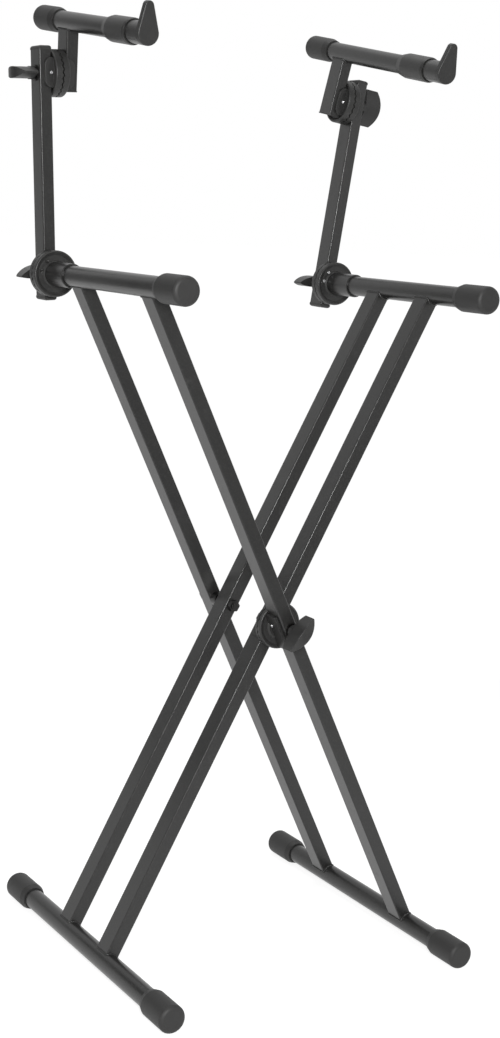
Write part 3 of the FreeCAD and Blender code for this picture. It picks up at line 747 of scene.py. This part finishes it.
class STAND_OT_welds(bpy.types.Operator):
    """Weld beads where the legs meet the arm and foot tubes, and where each stub meets its upper arm"""

    bl_idname = "stand.welds"
    bl_label = "Lay weld beads"

    def execute(self, context):
        pivot = Vector(JOINTS["fold"]["pos_m"])
        paint = materials()["black_paint"]
        values = {"Radius": sizes().bead_radius, "Ripple": sizes().bead_ripple, "Material": paint}
        frames = {"outer_frame": (-HALF_ANGLE, OUTER_Y), "inner_frame": (HALF_ANGLE, INNER_Y)}
        for body, (lean, y) in frames.items():
            loops = []
            for end in (0.0, math.pi):
                for side in (-y, y):
                    place = Matrix.Translation(pivot + BACK * side) @ Matrix.Rotation(lean + end, 4, "Y")
                    loops.append(saddle(place, LEG_REACH, ARM_RADIUS, LEG_WIDTH, TUBE_DEPTH, TUBE_CORNER))
            beads = loops_mesh("beads", loops)
            grow(f"{body}_weld_beads", beads, bead_group(), values, body, "black_paint")
        for side in SIDES:
            place = tier_frame(side, TIER_TILT[side])
            loop = saddle(place, TIER_RISE, UPPER_RADIUS, UPRIGHT_WIDTH, TUBE_DEPTH, TUBE_CORNER)
            name, body = f"{side}_stub_weld_bead", f"{side}_upper_arm"
            grow(name, loops_mesh("beads", [loop]), bead_group(), values, body, "black_paint")
        return {"FINISHED"}


class STAND_OT_discs(bpy.types.Operator):
    """Rounded lips on the clutch discs, and cheeks by which the tilt discs hold their tubes"""

    bl_idname = "stand.discs"
    bl_label = "Mould disc lips and cheeks"

    def execute(self, context):
        lip = sizes().lip_radius
        nylon = materials()["clutch_plastic"]
        values = {"Radius": DISC_RADIUS - lip - LIP_MARGIN, "Lip": lip, "Material": nylon}
        for name, (body, place) in disc_places().items():
            seed = bpy.data.meshes.new("lip")
            sunk = place @ Matrix.Translation((0, 0, -lip))
            grow(f"{name}_lip", seed, lip_group(), values, body, "clutch_plastic", sunk)
            if "tilt_disc" not in name and "stub_disc" not in name:
                continue
            bm = bmesh.new()
            heads = []
            for across in (1, -1):
                skin = Vector((across * (TUBE_DEPTH / 2 + CHEEK_GAP), 0, -DISC_DISH))
                spot = place @ frame_matrix(skin, ACROSS * across, UP)
                add_cheek(bm, spot)
                heads.append(spot @ Matrix.Translation((CHEEK_SCREW, 0, CHEEK_WALL)))
            keep(link(f"{name}_cheeks", finished_mesh(bm, "cheeks")), body, "clutch_plastic")
            screws = screws_mesh(sizes().screw_head, heads)
            keep(link(f"{name}_cheek_screws", screws), body, "zinc_steel")
        return {"FINISHED"}


class STAND_OT_disc_screws(bpy.types.Operator):
    """Screws beside the arms' hubs and in the cheeks of the pivot's discs"""

    bl_idname = "stand.disc_screws"
    bl_label = "Fit disc screws"

    def execute(self, context):
        places = disc_places()
        # the left pair gets black zinc as painted shade, which dulls its glint; the right pair is plain zinc
        for side, slot in HUB_SCREW_SLOT_AND_SHADE.items():
            body, place = places[f"{side}_arm_disc"]
            heads = []
            for angle in HUB_SCREW_ANGLES:
                spot = Vector((math.cos(angle), math.sin(angle), 0)) * sizes().screw_ring
                spot.z = -DISC_DISH
                heads.append(place @ Matrix.Translation(spot) @ Matrix.Rotation(angle * 3, 4, "Z"))
            keep(link(f"{side}_hub_screws", screws_mesh(sizes().screw_head, heads)), body, slot)
        pivot = Vector(JOINTS["fold"]["pos_m"])
        outside = LEG_WIDTH / 2 + CHEEK_GAP + CHEEK_WALL
        spots = {"outer_frame": (-HALF_ANGLE, -OUTER_SCREW_Y), "inner_frame": (HALF_ANGLE, -INNER_SCREW_Y)}
        for body, (lean, y) in spots.items():
            place = Matrix.Translation(pivot + BACK * y) @ Matrix.Rotation(lean, 4, "Y")
            heads = []
            for side in (ACROSS, -ACROSS):
                heads.append(place @ frame_matrix(side * outside + UP * PIVOT_SCREW_RISE, side, BACK))
            keep(link(f"{body}_cheek_screws", screws_mesh(sizes().screw_head, heads)), body, "zinc_steel")
        return {"FINISHED"}


class STAND_OT_stage(bpy.types.Operator):
    """Pale floor, soft studio lamps and the camera"""

    bl_idname = "stand.stage"
    bl_label = "Set the stage"

    def execute(self, context):
        scene = context.scene
        scene.view_settings.view_transform = "Standard"
        floor = lay_floor()
        hang_flag()
        light_world(scene)
        hang_lamps()
        set_camera(scene)
        return {"FINISHED"}


def seen_rays(tree):
    """Whether a ray comes from the camera, and whether it comes by gloss or through glass."""
    camera = tree.add("ShaderNodeLightPath", out="Is Camera Ray")
    gloss = tree.add("ShaderNodeLightPath", out="Is Glossy Ray")
    through = tree.add("ShaderNodeLightPath", out="Is Transmission Ray")
    mirrored = tree.add("ShaderNodeMath", {"operation": "MAXIMUM"}, {0: gloss, 1: through})
    mirrored = tree.add("ShaderNodeMath", {"operation": "MINIMUM"}, {0: mirrored, 1: 1.0 - camera})
    return camera, mirrored


def lay_floor():
    """A wide pale floor that keeps the object's shadow and meets the background without an edge."""
    bm = bmesh.new()
    bmesh.ops.create_grid(bm, x_segments=1, y_segments=1, size=FLOOR_REACH)
    floor = link("floor", finished_mesh(bm, "floor"))
    floor.location.z = -FLOOR_DROP
    material, tree, place = new_material("studio_floor")
    colour = finish().floor_colour
    speckle = noise(tree, place, scale=40.0, detail=3.0)
    base = tree.mix(speckle, tint(colour, 0.99), tint(colour, 1.01))
    lit = tree.add("ShaderNodeBsdfDiffuse", None, {"Color": base})
    camera, mirrored = seen_rays(tree)
    away = tree.add("ShaderNodeVectorMath", {"operation": "LENGTH"}, {0: place}, out="Value")
    far = tree.ease(away, FLOOR_FADE_FROM, FLOOR_FADE_TO)
    forward = tree.add("ShaderNodeSeparateXYZ", None, {0: place}, out="Y")
    front = tree.ease(0.0 - forward, 0.3, 3.0)
    strength = FLOOR_GLOW - far * FLOOR_FADE - mirrored * front * FRONT_DIMMING
    glow = tree.add("ShaderNodeEmission", None, {"Color": (1, 1, 1, 1), "Strength": strength})
    factor = (camera + mirrored) * (FLOOR_GLOW_SHARE + far * (1 - FLOOR_GLOW_SHARE))
    both = tree.add("ShaderNodeMixShader", None, {0: factor, 1: lit, 2: glow})
    tree.end_in(both)
    floor.data.materials.append(material)
    return floor


def hang_flag():
    """A dark card behind the stand's left side, which darkens what the left faces reflect."""
    left, right, bottom, top, y = FLAG
    bm = bmesh.new()
    corners = ((left, bottom), (right, bottom), (right, top), (left, top))
    bm.faces.new([bm.verts.new((x, y, z)) for x, z in corners])
    flag = link("dark_card", finished_mesh(bm, "dark_card"))
    material, tree, place = new_material("dark_cloth")
    weave = noise(tree, place, scale=300.0, detail=2.0)
    base = tree.mix(weave, (0.10, 0.10, 0.10, 1), (0.16, 0.16, 0.16, 1))
    tree.end_in(tree.add("ShaderNodeBsdfDiffuse", None, {"Color": base}))
    flag.data.materials.append(material)
    flag.visible_camera = False
    flag.visible_diffuse = False
    flag.visible_shadow = False
    return flag


def light_world(scene):
    """Soft even light, with a white background for what the camera, gloss and glass see."""
    world = bpy.data.worlds.new("studio")
    world.use_nodes = True
    world.node_tree.nodes.clear()
    tree = Tree(world.node_tree)
    camera, mirrored = seen_rays(tree)
    direction = tree.add("ShaderNodeTexCoord", out="Generated")
    forward = tree.add("ShaderNodeSeparateXYZ", None, {0: direction}, out="Y")
    front = tree.ease(0.0 - forward, -0.1, 0.8)
    upward = tree.add("ShaderNodeSeparateXYZ", None, {0: direction}, out="Z")
    ceiling = tree.ease(upward, 0.25, 0.6)
    mirrored_light = mirrored * (1.0 - front * FRONT_DIMMING) * (1.0 - ceiling * CEILING_DIMMING)
    strength = (1.0 - camera - mirrored) * WORLD_LIGHT + camera + mirrored_light
    tree.end_in(tree.add("ShaderNodeBackground", None, {"Color": (1, 1, 1, 1), "Strength": strength}))
    scene.world = world


def hang_lamps():
    """A soft box beside the camera, a fill from the right and a wide one overhead."""
    for name, (place, side, power) in LAMPS.items():
        lamp = bpy.data.lights.new(name, "AREA")
        lamp.shape = "SQUARE"
        lamp.size = side
        lamp.energy = power
        piece = bpy.data.objects.new(name, lamp)
        bpy.context.scene.collection.objects.link(piece)
        piece.location = place
        piece.rotation_euler = (LAMP_AIM - Vector(place)).to_track_quat("-Z", "Y").to_euler()


def set_camera(scene):
    """The photograph's viewpoint, seen from the left front and a little above, with a lens for a picture of
    500 by 1038 pixels; the render size is not set here.
    """
    yaw, pitch, roll = CAMERA_YAW, CAMERA_PITCH, CAMERA_ROLL
    ahead = Vector((math.sin(yaw) * math.cos(pitch), math.cos(yaw) * math.cos(pitch), math.sin(pitch)))
    level = Vector((math.cos(yaw), -math.sin(yaw), 0))
    above = level.cross(ahead)
    right = level * math.cos(roll) + above * math.sin(roll)
    upward = -level * math.sin(roll) + above * math.cos(roll)
    data = bpy.data.cameras.new("camera")
    data.sensor_width = SENSOR_SIZE
    data.lens = FOCAL_PIXELS / PHOTO_HEIGHT * SENSOR_SIZE
    data.clip_end = 200
    camera = bpy.data.objects.new("camera", data)
    scene.collection.objects.link(camera)
    turn = Matrix((right, upward, -ahead)).transposed().to_4x4()
    camera.matrix_world = Matrix.Translation(CAMERA_PLACE) @ turn
    scene.camera = camera


STEPS = (
    STAND_OT_tubes,
    STAND_OT_mouldings,
    STAND_OT_fasteners,
    STAND_OT_welds,
    STAND_OT_discs,
    STAND_OT_disc_screws,
    STAND_OT_stage,
)


class STAND_PT_panel(bpy.types.Panel):
    """The steps that dress the stand"""

    bl_idname = "STAND_PT_panel"
    bl_label = "Folding keyboard stand"
    bl_space_type = "VIEW_3D"
    bl_region_type = "UI"
    bl_category = "Stand"

    def draw(self, context):
        layout = self.layout
        for group in (context.scene.stand_sizes, context.scene.stand_finish):
            for name in group.bl_rna.properties.keys():
                if name not in {"rna_type", "name"}:
                    layout.prop(group, name)
        for step in STEPS:
            layout.operator(step.bl_idname)


CLASSES = (StandSizes, StandFinish) + STEPS + (STAND_PT_panel,)


def register():
    for kind in CLASSES:
        bpy.utils.register_class(kind)
    bpy.types.Scene.stand_sizes = PointerProperty(type=StandSizes)
    bpy.types.Scene.stand_finish = PointerProperty(type=StandFinish)


def unregister():
    del bpy.types.Scene.stand_finish
    del bpy.types.Scene.stand_sizes
    for kind in reversed(CLASSES):
        bpy.utils.unregister_class(kind)


def main():
    register()
    for step in STEPS:
        area, name = step.bl_idname.split(".")
        getattr(getattr(bpy.ops, area), name)()


if __name__ == "__main__":
    main()
